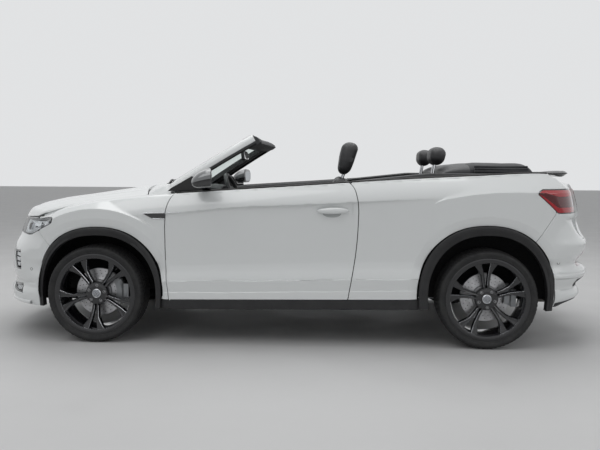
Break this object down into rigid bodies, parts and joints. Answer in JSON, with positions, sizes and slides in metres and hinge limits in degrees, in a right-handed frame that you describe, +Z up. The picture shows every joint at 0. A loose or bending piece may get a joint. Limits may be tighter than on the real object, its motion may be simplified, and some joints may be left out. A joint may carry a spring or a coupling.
{
  "type": "convertible car",
  "caption": "Open compact crossover convertible with two doors, four seats, folded cloth top, black arch cladding and double-spoke black wheels.",
  "frame": {"origin": "centre of the bounding box's bottom, on the ground between the wheels", "axes": "-X is the car's front, +X its rear, -Y its left side, +Z up"},
  "size_m": [4.2678, 2.07, 1.44],
  "materials": {
    "paint": "gloss",
    "black_trim": "grained",
    "black_gloss": "gloss",
    "soft_trim": "soft grain",
    "cast_metal": "rough cast",
    "steel": "dull",
    "underbody": "satin",
    "lamp_clear": "clear",
    "lamp_red": "clear gloss",
    "rim_black": "gloss",
    "leather": "soft",
    "cloth": "woven",
    "tyre": "rubber",
    "screen_glass": "clear"
  },
  "bodies": {
    "body": {"cladding_l": "black_trim", "cladding_r": "black_trim", "dashboard": "soft_trim", "deck": "soft_trim", "diffuser": "black_trim", "engine_block": "cast_metal", "exhaust": "steel", "fender_l": "paint", "fender_r": "paint", "floor_pan": "underbody", "front_bumper": "paint", "front_structure": "underbody", "front_subframe": "steel", "fuel_tank": "black_trim", "grille": "black_gloss", "headlamp_l": "lamp_clear", "headlamp_r": "lamp_clear", "quarter_l": "paint", "quarter_r": "paint", "rear_axle": "steel", "rear_bumper": "paint", "rear_seat": "leather", "rear_structure": "underbody", "seat_front_l": "leather", "seat_front_r": "leather", "soft_top": "cloth", "taillamp_l": "lamp_red", "taillamp_r": "lamp_red", "windscreen": "screen_glass", "windscreen_frame": "black_gloss"},
    "door_l": {"door_l": "paint", "mirror_l": "black_gloss"},
    "door_r": {"door_r": "paint", "mirror_r": "black_gloss"},
    "bonnet": {"bonnet": "paint"},
    "boot_lid": {"boot_lid": "paint", "spoiler": "black_gloss"},
    "steering_wheel": {"steering_wheel": "leather"},
    "knuckle_l": {"knuckle_l": "cast_metal"},
    "knuckle_r": {"knuckle_r": "cast_metal"},
    "wheel_fl": {"tyre_fl": "tyre", "rim_fl": "rim_black"},
    "wheel_fr": {"tyre_fr": "tyre", "rim_fr": "rim_black"},
    "wheel_rl": {"tyre_rl": "tyre", "rim_rl": "rim_black"},
    "wheel_rr": {"tyre_rr": "tyre", "rim_rr": "rim_black"}
  },
  "joints": [
    {"name": "steer_l", "type": "hinge", "parent": "body", "child": "knuckle_l", "pos_m": [-1.294, -0.7, 0.331], "axis": [0, 0, 1], "range_deg": [-35, 35]},
    {"name": "steer_r", "type": "hinge", "parent": "body", "child": "knuckle_r", "pos_m": [-1.294, 0.7, 0.331], "axis": [0, 0, 1], "range_deg": [-35, 35]},
    {"name": "steering", "type": "hinge", "parent": "body", "child": "steering_wheel", "pos_m": [-0.399, -0.37, 0.978], "axis": [0.9063, 0, 0.4226], "range_deg": [-525, 525]},
    {"name": "spin_fl", "type": "hinge", "parent": "knuckle_l", "child": "wheel_fl", "pos_m": [-1.294, -0.771, 0.331], "axis": [0, 1, 0], "continuous": true},
    {"name": "spin_fr", "type": "hinge", "parent": "knuckle_r", "child": "wheel_fr", "pos_m": [-1.294, 0.771, 0.331], "axis": [0, 1, 0], "continuous": true},
    {"name": "spin_rl", "type": "hinge", "parent": "body", "child": "wheel_rl", "pos_m": [1.336, -0.771, 0.331], "axis": [0, 1, 0], "continuous": true},
    {"name": "spin_rr", "type": "hinge", "parent": "body", "child": "wheel_rr", "pos_m": [1.336, 0.771, 0.331], "axis": [0, 1, 0], "continuous": true},
    {"name": "door_l_hinge", "type": "hinge", "parent": "body", "child": "door_l", "pos_m": [-0.734, -0.853, 0.6], "axis": [0, 0, -1], "range_deg": [0, 65]},
    {"name": "door_r_hinge", "type": "hinge", "parent": "body", "child": "door_r", "pos_m": [-0.734, 0.853, 0.6], "axis": [0, 0, 1], "range_deg": [0, 65]},
    {"name": "bonnet_hinge", "type": "hinge", "parent": "body", "child": "bonnet", "pos_m": [-0.975, 0, 0.98], "axis": [0, 1, 0], "range_deg": [0, 50]},
    {"name": "lid_hinge", "type": "hinge", "parent": "body", "child": "boot_lid", "pos_m": [1.694, 0, 1.142], "axis": [0, -1, 0], "range_deg": [0, 65]}
  ],
  "couplings": [
    {"joint": "steer_r", "follows": "steer_l", "ratio": 1},
    {"joint": "steering", "follows": "steer_l", "ratio": 15}
  ]
}
